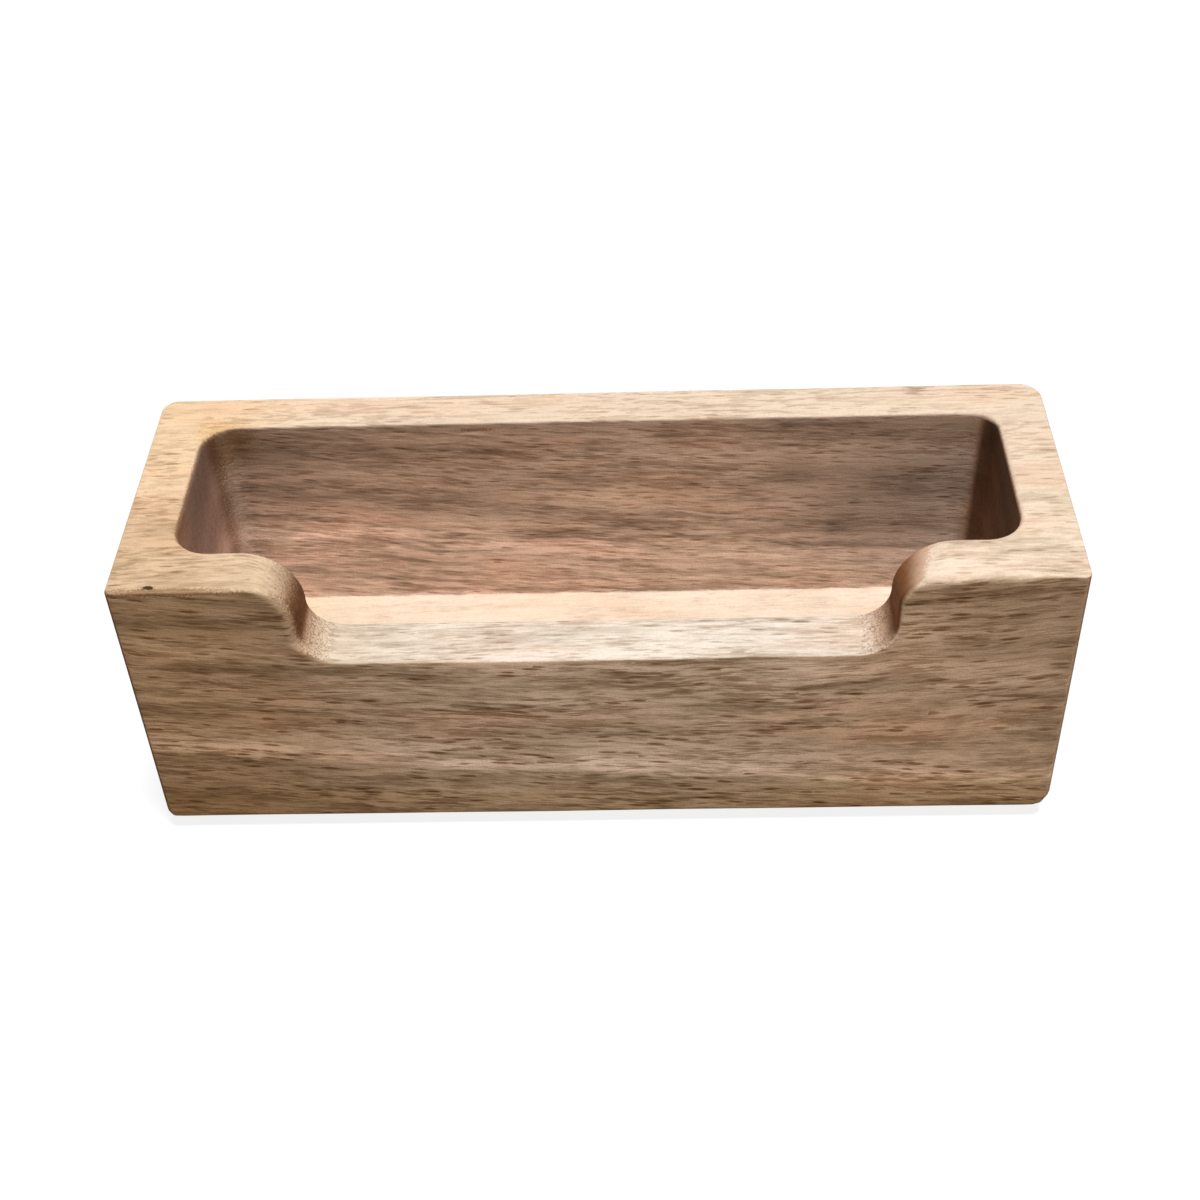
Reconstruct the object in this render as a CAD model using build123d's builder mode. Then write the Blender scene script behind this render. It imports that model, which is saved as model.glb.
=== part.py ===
from build123d import *
import os
from math import acos, degrees, sin

# Wooden business card stand: a block of hardwood with a card pocket milled into its top and a wide
# thumb notch through its front wall, standing on four moulded feet.
# Millimetres. +X runs along the block to the viewer's right, +Y from its front to its back, +Z up.
# The origin is on the desk, under the middle of the block.

# Card pocket
pocket_length = 97.3
pocket_width = 23.6
pocket_depth = 28.6
pocket_corner_radius = 4.5
floor_radius = 0.5
rim_radius = 0.4

# Wood left round and under the pocket, with the block's outer edges sanded round
end_wall = 6.35
front_wall = 6.9
back_wall = 6.1
base_thickness = 9.4
front_corner_radius = 1.0
back_corner_radius = 2.2
edge_radius = 0.5

# Thumb notch: a flat sill that rises through a hollow root and a full crest to the rim on each side,
# with a shoulder of front wall left from each flank to the end of the pocket
shoulder_length = 14.65
notch_depth = 11.4
root_radius = 4.2
crest_radius = 6.8

# Feet, stuck to the underside near its corners
foot_diameter = 9.0
foot_height = 2.0
foot_margin = 4.5
foot_draft = 12.0
foot_chamfer = 0.5

# Overall sizes, levels and places that follow from the sizes above
block_length = pocket_length + 2 * end_wall
block_depth = front_wall + pocket_width + back_wall
block_height = base_thickness + pocket_depth
underside = foot_height
rim = underside + block_height
sill = rim - notch_depth
block_front = -block_depth / 2
pocket_front = block_front + front_wall
pocket_middle = pocket_front + pocket_width / 2
foot_x = block_length / 2 - foot_margin - foot_diameter / 2
foot_y = block_depth / 2 - foot_margin - foot_diameter / 2

# Each notch flank is a root arc and a crest arc of the same turn. The turn is a right angle, with an upright
# stretch between the arcs, unless the two radii together are more than the notch's depth.
radii = root_radius + crest_radius
flank_turn = acos(max(0.0, 1.0 - notch_depth / radii))
flank_x = pocket_length / 2 - shoulder_length
root_x = flank_x - root_radius * sin(flank_turn)
crest_x = flank_x + crest_radius * sin(flank_turn)
upright = max(0.0, notch_depth - radii)

# Edges whose faces turn by less than this, in degrees, are smooth joins
smooth_angle = 10.0

os.makedirs("parts", exist_ok=True)


def is_corner(edge):
    """Whether the two faces at an edge of the block meet at an angle, and not in a smooth join."""
    middle = edge @ 0.5
    normals = [face.normal_at(middle) for face in holder_block.faces() if edge in face.edges()]
    return normals[0].get_angle(normals[-1]) > smooth_angle


def is_outside_pocket(edge):
    """Whether an edge of the block lies beyond the middle of the walls, and so not round the pocket."""
    middle = edge @ 0.5
    within_ends = abs(middle.X) < (pocket_length + end_wall) / 2
    behind_front = middle.Y > block_front + front_wall / 2
    before_back = middle.Y < -block_front - back_wall / 2
    return not (within_ends and behind_front and before_back)


# Block
with BuildPart() as holder_block:
    with BuildSketch(Plane.XY.offset(underside)) as outline:
        Rectangle(block_length, block_depth)
        fillet(outline.vertices().group_by(Axis.Y)[0], front_corner_radius)
        fillet(outline.vertices().group_by(Axis.Y)[-1], back_corner_radius)
    extrude(amount=block_height)

    with BuildSketch(Plane.XY.offset(rim)):
        with Locations((0, pocket_middle)):
            RectangleRounded(pocket_length, pocket_width, pocket_corner_radius)
    extrude(amount=-pocket_depth, mode=Mode.SUBTRACT)
    floor_edges = holder_block.faces().filter_by(Axis.Z).group_by(Axis.Z)[1].edges()
    fillet(floor_edges, floor_radius)

    with BuildSketch(Plane.XZ.offset(-pocket_middle)):
        with BuildLine():
            flat = Line((0, sill), (root_x, sill))
            root = JernArc(flat @ 1, (1, 0), root_radius, degrees(flank_turn))
            rise = root @ 1
            if upright > 0:
                rise = Line(rise, rise + Vector(0, upright)) @ 1
            crest = JernArc(rise, root % 1, crest_radius, -degrees(flank_turn))
            Polyline(crest @ 1, (crest_x, rim + notch_depth), (0, rim + notch_depth))
            mirror(about=Plane.YZ)
        make_face()
    extrude(amount=pocket_middle - block_front, mode=Mode.SUBTRACT)

    corners = holder_block.edges().filter_by(is_corner)
    fillet(corners.filter_by(is_outside_pocket), edge_radius)
    fillet(holder_block.edges().filter_by(is_corner), rim_radius)

holder_block.part.label = "holder_block"
export_step(holder_block.part, "parts/holder_block.step")

# Feet
for name, side_x, side_y in (
    ("front_left_foot", -1, -1),
    ("front_right_foot", 1, -1),
    ("rear_left_foot", -1, 1),
    ("rear_right_foot", 1, 1),
):
    with BuildPart() as foot:
        with BuildSketch(Plane((side_x * foot_x, side_y * foot_y, underside))):
            Circle(foot_diameter / 2)
        extrude(amount=-foot_height, taper=foot_draft)
        chamfer(foot.edges().group_by(Axis.Z)[0], foot_chamfer)
    foot.part.label = name
    export_step(foot.part, f"parts/{name}.step")
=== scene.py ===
import math
from types import SimpleNamespace

import bmesh
import bpy
import numpy as np
from bpy.props import FloatProperty, FloatVectorProperty, IntProperty, PointerProperty
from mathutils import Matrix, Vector, noise


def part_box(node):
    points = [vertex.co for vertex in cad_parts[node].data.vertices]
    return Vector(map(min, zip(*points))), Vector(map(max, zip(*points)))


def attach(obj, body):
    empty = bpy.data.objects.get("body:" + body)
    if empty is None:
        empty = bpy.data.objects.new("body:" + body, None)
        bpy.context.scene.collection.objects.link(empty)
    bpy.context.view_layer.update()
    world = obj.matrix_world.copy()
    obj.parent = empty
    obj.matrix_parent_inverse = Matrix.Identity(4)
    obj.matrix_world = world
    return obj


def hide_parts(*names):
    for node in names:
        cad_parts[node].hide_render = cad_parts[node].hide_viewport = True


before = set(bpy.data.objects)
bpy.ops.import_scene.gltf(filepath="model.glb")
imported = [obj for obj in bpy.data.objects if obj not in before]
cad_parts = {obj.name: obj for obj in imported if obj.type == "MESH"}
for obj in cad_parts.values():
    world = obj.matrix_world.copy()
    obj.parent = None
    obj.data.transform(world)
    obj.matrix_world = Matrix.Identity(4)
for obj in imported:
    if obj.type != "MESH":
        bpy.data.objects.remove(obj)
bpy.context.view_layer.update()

bl_info = {
    "name": "Wooden card stand",
    "version": (1, 0, 0),
    "blender": (4, 5, 0),
    "location": "3D View > Sidebar > Card Stand",
    "description": "Dresses a milled hardwood card stand: block, feet and studio stage",
    "category": "Object",
}

MM = 0.001
BODY = "root"
FOOT_NODES = ("front_left_foot", "front_right_foot", "rear_left_foot", "rear_right_foot")
BLOCK_LOW, BLOCK_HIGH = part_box("holder_block")
FOOT_LOW, FOOT_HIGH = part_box("front_right_foot")
UP = np.array((0.0, 0.0, 1.0))
LEFT, RIGHT = 0, 1


def length(name, description, millimetres):
    """A length property whose default is given in millimetres."""
    return FloatProperty(
        name=name, description=description, default=millimetres * MM, precision=5, unit="LENGTH"
    )


def several(name, description, default, **kind):
    """A property of several numbers, of a kind."""
    count = len(default)
    return FloatVectorProperty(name=name, description=description, default=default, size=count, **kind)


def pair(name, description, left, right):
    """A property for a length at the left and one at the right, with defaults in millimetres."""
    return several(name, description, (left * MM, right * MM), precision=5, unit="LENGTH")


def share(name, description, default):
    """A property for a share or a factor."""
    return FloatProperty(name=name, description=description, default=default, soft_min=0.0, soft_max=2.0)


def angle(name, description, degrees):
    """An angle property whose default is given in degrees."""
    default = math.radians(degrees)
    return FloatProperty(name=name, description=description, default=default, subtype="ANGLE")


def colour(name, description, default):
    """A colour property, in linear light."""
    return several(name, description, default, subtype="COLOR", min=0.0, max=2.0)


def direction(name, description, default):
    """A property for the direction to a lamp."""
    return several(name, description, default, subtype="DIRECTION")


class BlockSizes(bpy.types.PropertyGroup):
    """Sizes of the milled block; its outer sizes come from the frame."""

    end_wall: length("End wall", "Wood left at each end of the pocket", 6.35)
    front_wall: length("Front wall", "Wood left in front of the pocket", 6.9)
    back_wall: length("Back wall", "Wood left behind the pocket", 6.1)
    base: length("Base", "Wood left under the pocket", 9.4)
    front_radii: pair("Front radii", "Rounds of the upright front edges, left and right", 0.7, 0.9)
    back_radii: pair("Back radii", "Rounds of the upright back edges", 2.1, 2.8)
    pocket_radii: pair("Pocket radii", "Rounds of the pocket's back corners", 4.0, 2.9)
    pocket_corner_radius: length("Pocket corner radius", "Round of the pocket's front corners", 4.5)
    floor_radius: length("Floor radius", "Round between the pocket's walls and its floor", 0.2)
    rim_radius: length("Rim radius", "Round of the edges along the pocket's mouth", 0.4)
    end_rim_radius: length("End rim radius", "The same at the ends of the pocket", 0.75)
    edge_radius: length("Edge radius", "Mean round of the sanded edges round the underside", 0.45)
    top_radius: length("Top radius", "Mean round of the sanded edges round the top", 0.28)
    flank_radii: pair("Flank radii", "Rounds of the front edge on the notch flanks", 2.2, 0.9)
    shoulder_radius: length("Shoulder radius", "Round of the worn front edge of the right shoulder", 1.1)
    shoulder: length("Shoulder", "Front wall from each notch flank to the pocket's end", 14.65)
    notch_depth: length("Notch depth", "Drop from the rim to the sill of the thumb notch", 11.4)
    root_radius: length("Root radius", "Hollow round at the foot of each notch flank", 4.2)
    crest_radius: length("Crest radius", "Round at the top of each notch flank, beside the pocket", 6.8)
    crest_radii: pair("Crest radii", "The same at the front of the flanks", 5.4, 4.4)
    edge_unevenness: share("Edge unevenness", "How much the sanded round varies along an edge", 0.3)
    end_radii: pair("End radii", "Rounds of the worn lower edges of the ends", 1.3, 2.4)
    unevenness: length("Unevenness", "Depth of the shallow waves left by hand sanding", 0.08)
    patch_size: length("Patch size", "Size of the sanding waves", 22.0)
    grain_relief: length("Grain relief", "Depth of the softer streaks that sanding wears down", 0.015)
    relief_pitch: length("Relief pitch", "Spacing of the worn streaks across the grain", 2.2)
    relief_length: length("Relief length", "Length of the worn streaks along the grain", 16.0)
    seed: IntProperty(name="Seed", description="Picks the pattern of the sanding", default=4)


class WoodLook(bpy.types.PropertyGroup):
    """Colours of the wood, in linear light; the end, flank and sill tints also paint light and shade."""

    heartwood: colour("Heartwood", "Mean colour of the long grain", (0.532, 0.372, 0.244))
    vessel_tint: colour("Vessel tint", "What an open vessel does to the colour", (0.44, 0.34, 0.24))
    left_crest_tint: colour("Left crest tint", "End grain on faces turned right", (0.62, 0.49, 0.43))
    right_crest_tint: colour("Right crest tint", "End grain on faces turned left", (0.84, 0.71, 0.65))
    # End grain of the steep notch flanks, darkened further by painted shade
    flank_grain_shade_tint: colour("Flank tint", "What the steep notch flanks add to that", (0.478, 0.32, 0.187))
    # Painted light: makes cut ends facing right, and the outer ends, lighter
    lit_end_tint: colour("Left end tint", "What cut ends facing right or outside add", (1.48, 1.68, 2.0))
    # Painted shade: makes cut ends facing left, the pocket's right end wall, much darker
    shaded_end_tint: colour("Right end tint", "What cut ends facing left add", (0.36, 0.335, 0.29))
    left_tint: colour("Left tint", "Warmer, darker wood towards the left end", (0.79, 0.70, 0.57))
    right_tint: colour("Right tint", "Redder wood of the front towards the right end", (1.03, 0.99, 0.93))
    rim_tint: colour("Rim tint", "Yellower wood of the rim towards the left end", (1.0, 0.93, 0.80))
    low_tint: colour("Low tint", "Olive wood along the foot of the front", (1.0, 0.97, 0.86))
    wall_tint: colour("Wall tint", "Pinker wood of the pocket's walls", (1.0, 1.0, 1.09))
    # Painted sheen: makes the notch's sill paler and cooler
    sill_sheen_tint: colour("Sill tint", "Bleached wood of the notch's sill", (0.92, 0.985, 1.06))
    red_tint: colour("Red tint", "Reddish patches", (1.0, 0.91, 0.87))


class FootSizes(bpy.types.PropertyGroup):
    """Shape and colour of the stick-on feet; their places and heights come from the frame."""

    draft: angle("Draft", "Taper of a foot's side", 12.0)
    edge_round: length("Edge round", "Round of the edge that meets the desk", 0.5)
    rubber: colour("Rubber", "Colour of the moulded rubber", (0.030, 0.028, 0.026))
    segments: IntProperty(name="Segments", description="Sides of each round foot", default=64, min=12)


class StageSettings(bpy.types.PropertyGroup):
    """Camera, lamps and floor."""

    camera_place: several(
        "Camera place",
        "Where the camera stands",
        (0.00701, -0.16687, 0.17283),
        precision=5,
        subtype="TRANSLATION",
        unit="LENGTH",
    )
    camera_turn: several(
        "Camera turn",
        "How the camera is turned",
        (math.radians(47.732), math.radians(1.956), math.radians(0.694)),
        subtype="EULER",
    )
    camera_lens: FloatProperty(name="Lens", description="Focal length in millimetres", default=54.013)
    key_from: direction("Key from", "Direction to the key lamp", (0.12, -0.14, 1.0))
    key_light: share("Key", "Light on a face square to the key lamp", 2.0)
    key_colour: colour("Key colour", "Slightly cool key lamp", (0.78, 0.91, 1.07))
    key_spread: angle("Key spread", "Width of the key lamp", 10.0)
    fill_from: direction("Fill from", "Direction to the fill lamp", (0.3, -1.0, 0.25))
    fill_light: share("Fill", "Light on a face square to the fill lamp", 0.28)
    fill_colour: colour("Fill colour", "Warm fill lamp", (1.0, 0.74, 0.50))
    fill_spread: angle("Fill spread", "Width of the fill lamp", 50.0)
    back_from: direction("Back from", "Direction to the lamp behind the stand", (-0.22, 1.0, 0.2))
    back_light: share("Back", "Light on a face square to the back lamp", 0.42)
    back_colour: colour("Back colour", "Slightly warm back lamp", (0.95, 0.84, 0.74))
    back_spread: angle("Back spread", "Width of the back lamp", 60.0)
    ambient: colour("Ambient", "Faint warm light from all round", (0.020, 0.0184, 0.0168))
    floor_bounce: colour("Floor bounce", "Light that the floor throws on the wood", (0.10, 0.085, 0.07))
    floor_white: colour("Floor white", "White that no shadow takes away", (0.86, 0.86, 0.86))
    floor_pale: colour("Floor pale", "White that shadows darken", (0.115, 0.102, 0.090))
    floor_size: FloatProperty(
        name="Floor size", description="Side of the square floor", default=6.0, unit="LENGTH"
    )


class Sketch:
    """Adds nodes to a tree: plain values are set on the sockets, and sockets are linked."""

    def __init__(self, tree):
        self.tree = tree

    def add(self, kind, *values, **settings):
        """A new node with its settings, and values for its first inputs."""
        node = self.tree.nodes.new(kind)
        for name, value in settings.items():
            setattr(node, name, value)
        for socket, value in zip(node.inputs, values):
            self.give(socket, value)
        return node

    def made(self, kind, *values, **settings):
        """The first output of a new node."""
        return self.add(kind, *values, **settings).outputs[0]

    def give(self, socket, value):
        """Links a socket or sets a plain value, a colour with full alpha; None leaves the input alone."""
        if isinstance(value, bpy.types.NodeSocket):
            self.tree.links.new(value, socket)
        elif value is not None and socket.type == "RGBA":
            socket.default_value = (*value[:3], 1.0)
        elif value is not None:
            socket.default_value = value

    def math(self, operation, *values):
        return self.made("ShaderNodeMath", *values, operation=operation)

    def vector(self, operation, *values):
        return self.made("ShaderNodeVectorMath", *values, operation=operation)

    def combine(self, x, y, z):
        return self.made("ShaderNodeCombineXYZ", x, y, z)

    def separate(self, vector):
        return self.add("ShaderNodeSeparateXYZ", vector).outputs[:]

    def chain(self, operation, values):
        """One sum repeated over several values."""
        result = values[0]
        for value in values[1:]:
            result = self.math(operation, result, value)
        return result

    def total(self, *terms):
        return self.chain("ADD", terms)

    def product(self, *factors):
        return self.chain("MULTIPLY", factors)

    def highest(self, *values):
        return self.chain("MAXIMUM", values)

    def other(self, mask):
        """The mask of everything that a mask leaves out."""
        return self.math("SUBTRACT", 1.0, mask)

    def scaled(self, value, mask, factor):
        """A value times a factor where a mask is 1, and as it was where the mask is 0."""
        return self.product(value, self.mix(mask, 1.0, factor))

    def swing(self, value, reach):
        """A noise value from 0 to 1 made to swing both ways about zero."""
        return self.product(self.math("SUBTRACT", value, 0.5), reach)

    def smooth(self, value, low, high, to_low=0.0, to_high=1.0):
        """A soft step from to_low to to_high as value goes from low to high."""
        values = (value, low, high, to_low, to_high)
        return self.made("ShaderNodeMapRange", *values, interpolation_type="SMOOTHSTEP")

    def fade(self, mask, least):
        """A factor that softly goes from 1 to another value as a mask goes from 0 to 1."""
        return self.smooth(mask, 0.0, 1.0, 1.0, least)

    def noise(self, vector, seed, detail, roughness=0.5):
        """Smooth noise from about 0 to 1, one patch to each unit of the vector."""
        values = (vector, seed, 1.0, detail, roughness)
        return self.made("ShaderNodeTexNoise", *values, noise_dimensions="4D")

    def mix(self, amount, first, second):
        """A number between two numbers."""
        return self.made("ShaderNodeMix", amount, None, first, second, data_type="FLOAT")

    def tint(self, amount, base, over, blend="MULTIPLY"):
        """A colour with another laid over it by an amount."""
        node = self.add("ShaderNodeMix", amount, data_type="RGBA", blend_type=blend)
        self.give(node.inputs[6], base)
        self.give(node.inputs[7], over)
        return node.outputs[2]

    def drawn_out(self, place, along, across):
        """A place scaled so that one unit is a given size along the grain, and another across it."""
        by_length = self.math("DIVIDE", 1.0, along)
        by_width = self.math("DIVIDE", 1.0, across)
        return self.vector("MULTIPLY", place, self.combine(by_length, by_width, by_width))


def node_group(name, kind, inputs, outputs):
    """A new node group with sockets named by kind: the tree, its sketch, its inputs and its outputs."""
    tree = bpy.data.node_groups.new(name, kind)
    for in_out, sockets in (("INPUT", inputs), ("OUTPUT", outputs)):
        for value, labels in sockets.items():
            for label in labels:
                tree.interface.new_socket(name=label, in_out=in_out, socket_type="NodeSocket" + value)
    sketch = Sketch(tree)
    entry = sketch.add("NodeGroupInput")
    return tree, sketch, entry.outputs, sketch.add("NodeGroupOutput").inputs


def place_group(sketch, tree, *values):
    """Puts a group in a material and returns its one output."""
    node = sketch.add("ShaderNodeGroup", node_tree=tree)
    for socket, value in zip(node.inputs, values):
        sketch.give(socket, value)
    return node.outputs[0]


def new_material(name):
    """A material with its sketch and its principled shader."""
    material = bpy.data.materials.new(name)
    material.use_nodes = True
    return material, Sketch(material.node_tree), material.node_tree.nodes["Principled BSDF"]


def relief(s, shader, height, strength, depth):
    """Bumps a shader's normal by a height."""
    bump = s.add("ShaderNodeBump")
    bump.inputs["Strength"].default_value = strength
    bump.inputs["Distance"].default_value = depth
    s.give(bump.inputs["Height"], height)
    s.give(shader.inputs["Normal"], bump.outputs[0])


def fine_speckle():
    """The shared group for fine even speckle, as on sanded wood or moulded rubber."""
    made = bpy.data.node_groups.get("Fine speckle")
    if made:
        return made
    inputs = {"Vector": ["Millimetres"], "Float": ["Grains per mm"]}
    tree, s, entry, leave = node_group("Fine speckle", "ShaderNodeTree", inputs, {"Float": ["Speckle"]})
    scale = s.combine(*[entry["Grains per mm"]] * 3)
    place = s.vector("MULTIPLY", entry["Millimetres"], scale)
    s.give(leave["Speckle"], s.noise(place, seed=7.0, detail=2.0, roughness=0.6))
    return tree


def streak_group():
    """Streaks along the fibres: noise drawn out along them."""
    inputs = {"Vector": ["Fibre"], "Float": ["Length", "Width", "Roughness", "Seed"]}
    tree, s, entry, leave = node_group("Streaks", "ShaderNodeTree", inputs, {"Float": ["Height"]})
    place = s.drawn_out(entry["Fibre"], entry["Length"], entry["Width"])
    s.give(leave["Height"], s.noise(place, entry["Seed"], 4.0, entry["Roughness"]))
    return tree


def pore_group():
    """Crisp cut-open pores: slim cells along the fibres, a share of which hold a pore."""
    inputs = {"Vector": ["Fibre"], "Float": ["Length", "Width", "Size", "Share"]}
    tree, s, entry, leave = node_group("Pores", "ShaderNodeTree", inputs, {"Float": ["Mask"]})
    place = s.drawn_out(entry["Fibre"], entry["Length"], entry["Width"])
    cells = s.add("ShaderNodeTexVoronoi", place, feature="F1", voronoi_dimensions="3D")
    cells.inputs["Scale"].default_value = 1.0
    chance, spread, depth = s.separate(cells.outputs["Color"])
    size = s.product(entry["Size"], s.smooth(spread, 0.0, 1.0, 0.55, 1.3))
    inside = s.smooth(cells.outputs["Distance"], size, s.product(size, 0.4))
    held = s.math("LESS_THAN", chance, entry["Share"])
    s.give(leave["Mask"], s.product(inside, held, s.smooth(depth, 0.0, 1.0, 0.4, 1.0)))
    return tree


# Wood

# Growth layers lean back and dip to the right. Sizes are in millimetres from the middle of the underside.
LAYER_DIP = -0.067
LAYER_BOW = 0.00035
LAYER_LEAN = 0.26
RING_RADIUS = 110.0
# Near the front, streaks hang in a valley, which takes hold over these layers and fades over this depth
VALLEY_X = 6.0
VALLEY_BOW = 0.0011
VALLEY_LAYERS = (7.0, 25.0)
VALLEY_DEPTH = 14.0
# Unevenness of the layers: waves to a millimetre along x, y and z, and how far they swing in millimetres
SWELL, SWELL_REACH = (0.022, 0.06, 0.06), 3.0
RIPPLE, RIPPLE_REACH = (0.07, 0.30, 0.30), 2.4
CURL, CURL_REACH = (0.10, 0.12, 0.12), 1.2
# The fibres dip a little to the right, so that surfaces facing left cut across them sooner
FIBRE_DIP = math.radians(5.0)
FIBRE_LINE = (math.cos(FIBRE_DIP), 0.0, -math.sin(FIBRE_DIP))

# Streaks: length and width in millimetres, roughness and seed
FIGURE = (22.0, 2.7, 0.88, 29.0)
COARSE = (5.2, 0.50, 0.55, 11.0)
# Pores: length and width in millimetres, size within these, and for dots the share of cells with one
DASHES = (2.9, 0.52, 0.44)
DOTS = (1.7, 0.40, 0.38, 0.50)
DOT_SHIFT = (3.7, 0.3, 0.2)
# How strongly the vessels show as lines, as dashes and as dots
LINE_STRENGTH, DASH_STRENGTH, DOT_STRENGTH = 0.7, 1.0, 0.42
# Waves to a millimetre, along and across the fibres, of the crowding of pores and of the reddish patches
CROWDING = (0.05, 0.22, 0.22)
PATCHES = (0.045, 0.16, 0.16)
GRAINS_PER_MM = 4.0

# Soft steps between parts of the block, in millimetres: where a part begins and where it is full
POCKET_Y = (-8.0, 2.0)
FLOOR_Z = (14.0, 11.0)
NOTCH_X = (44.0, 40.0)
SILL_X = (36.0, 30.0)

# Brightness of each growth layer beside the mean, by its height on the front face at the block's middle
LAYER_TONES = (
    (-7.0, 0.60),
    (0.0, 0.74),
    (4.5, 0.86),
    (6.8, 0.96),
    (8.6, 1.50),
    (10.0, 1.22),
    (12.0, 1.07),
    (14.6, 0.96),
    (17.3, 1.10),
    (21.5, 1.00),
    (25.5, 1.12),
    (28.8, 0.80),
    (33.0, 0.86),
    (37.0, 0.82),
    (42.0, 0.92),
    (48.0, 0.86),
)
# The low layers inside the pocket, and the brightness of its lower walls and of its floor: painted bounce
# light on the walls and painted light on the floor
LOW_LAYERS = (12.0, 4.0)
LOW_WALL_BOUNCE_TONE, FLOOR_LIGHT_TONE = 1.20, 1.16
# Brightness of the darkest and of the lightest streaks, and of wood that shows none
FIGURE_TONES, PLAIN_TONE = (0.55, 1.40), 1.05
# How much level faces lose of the layers, of the streaks outside and in the pocket, and of the speckle
LEVEL_LAYERS, LEVEL_FIGURE, LEVEL_SPECKLE = 0.75, (0.52, 0.86), 0.45
SPECKLE_TONES = (0.89, 1.11)
# How fast red, green and blue fall as the wood darkens, outside the pocket and on its walls
TONE_POWERS = ((1.0, 1.0), (1.10, 1.05), (1.30, 1.14))

# Broad lighter and darker zones, some of the wood's own tone and some painted shade, as marked below:
# the middle and the reach of each in millimetres, and its brightness
ZONES = (
    ((35.6, -18.3, 28.9), (7.0, 6.0, 5.0), 1.35),
    ((25.0, -18.3, 22.5), (10.0, 6.0, 5.0), 1.16),
    ((-7.5, -18.3, 12.0), (8.0, 6.0, 8.0), 0.86),
    ((-36.5, -18.3, 24.0), (5.0, 5.0, 4.0), 0.78),
    ((-37.0, -18.3, 8.9), (10.0, 5.0, 1.8), 0.80),
    # painted shade towards the pocket's right end
    ((34.0, 12.2, 23.0), (14.0, 5.0, 10.0), 0.70),
    ((-36.0, 12.2, 19.5), (12.0, 4.0, 4.5), 1.50),
    ((-16.0, 12.2, 27.5), (14.0, 4.0, 6.0), 0.80),
    # painted shade in the pocket's back left corner, in these two
    ((-47.0, 11.0, 22.0), (4.0, 5.0, 9.0), 0.80),
    ((-46.5, 11.0, 36.0), (4.0, 4.0, 5.0), 0.78),
    ((24.0, 12.2, 29.5), (5.0, 3.0, 3.2), 0.70),
    # painted shade in the crease at the foot of the back wall
    ((13.0, 12.2, 10.0), (12.0, 2.0, 1.6), 0.74),
    ((46.0, -18.3, 0.5), (7.0, 3.0, 1.6), 0.72),
)

# Small marks, and one patch of painted shade: the middle and the reach of each in millimetres, and what
# it does to the colour
MARKS = (
    ((-50.0, -17.4, 38.0), (0.95, 0.45, 0.8), (0.10, 0.06, 0.04)),
    ((-48.0, -18.1, 38.0), (10.0, 0.75, 0.9), (0.57, 0.50, 0.43)),
    # painted shade high in the pocket's back left corner
    ((-46.5, 11.5, 36.0), (5.0, 3.2, 4.5), (0.94, 0.84, 0.68)),
    ((-15.5, 12.2, 36.3), (2.6, 1.0, 0.35), (1.55, 1.60, 1.65)),
    ((-15.0, 12.2, 36.9), (3.0, 1.0, 0.30), (0.55, 0.48, 0.42)),
)

# How squarely a face cuts the fibres where end grain starts and is full, and where the steep tint does,
# which paints light and shade on the cut ends and shade over the flanks' end grain: each for cut ends
# facing left and right, and for the notch's faces turned left and right
END_GRAIN_STEPS = (
    (0.21, 0.28, 0.44, 0.40),
    (0.32, 0.85, 0.54, 0.97),
    (0.25, 0.80, 0.55, 0.66),
    (0.63, 0.99, 0.92, 0.97),
)
# On cut ends facing left, these rise by a rate for each millimetre of height, counted from a height, so
# that lower down the end grain and its painted shade reach further round the pocket's back right corner,
# a painted shadow
SHADE_REACH_RATE, SHADE_REACH_HEIGHT = 0.02, 32.0


def growth_layers(s, place):
    """Where a point lies in the tree: the height of its growth layer, its place along the fibres, and its
    place in millimetres above the underside."""
    front = BLOCK_LOW.y / MM
    place = s.vector("SUBTRACT", place, (0.0, 0.0, BLOCK_LOW.z))
    place = s.vector("MULTIPLY", place, (1 / MM, 1 / MM, 1 / MM))
    x, y, z = s.separate(place)
    behind = s.math("SUBTRACT", y, front)
    chord = s.math("SUBTRACT", behind, -2 * front)
    lean = s.product(behind, LAYER_LEAN)
    bow = s.product(behind, chord, -0.5 / RING_RADIUS)
    level = s.math("SUBTRACT", s.math("SUBTRACT", z, lean), bow)

    dip = s.total(s.product(x, LAYER_DIP), s.product(x, x, LAYER_BOW))
    swell = s.noise(s.vector("MULTIPLY", place, SWELL), seed=1.0, detail=1.0)
    ripple = s.noise(s.vector("MULTIPLY", place, RIPPLE), seed=2.0, detail=3.0, roughness=0.6)
    uneven = s.swing(swell, SWELL_REACH), s.swing(ripple, RIPPLE_REACH)
    layer = s.total(s.math("SUBTRACT", level, dip), *uneven)

    from_valley = s.math("SUBTRACT", x, VALLEY_X)
    valley = s.product(from_valley, from_valley, VALLEY_BOW)
    hanging = s.product(s.smooth(layer, *VALLEY_LAYERS), s.smooth(behind, 0.0, VALLEY_DEPTH, 1.0, 0.0))
    curl = s.noise(s.vector("MULTIPLY", place, CURL), seed=3.0, detail=1.0)
    height = s.total(s.math("SUBTRACT", level, s.mix(hanging, dip, valley)), s.swing(curl, CURL_REACH))
    return layer, s.combine(x, y, height), place


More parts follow.
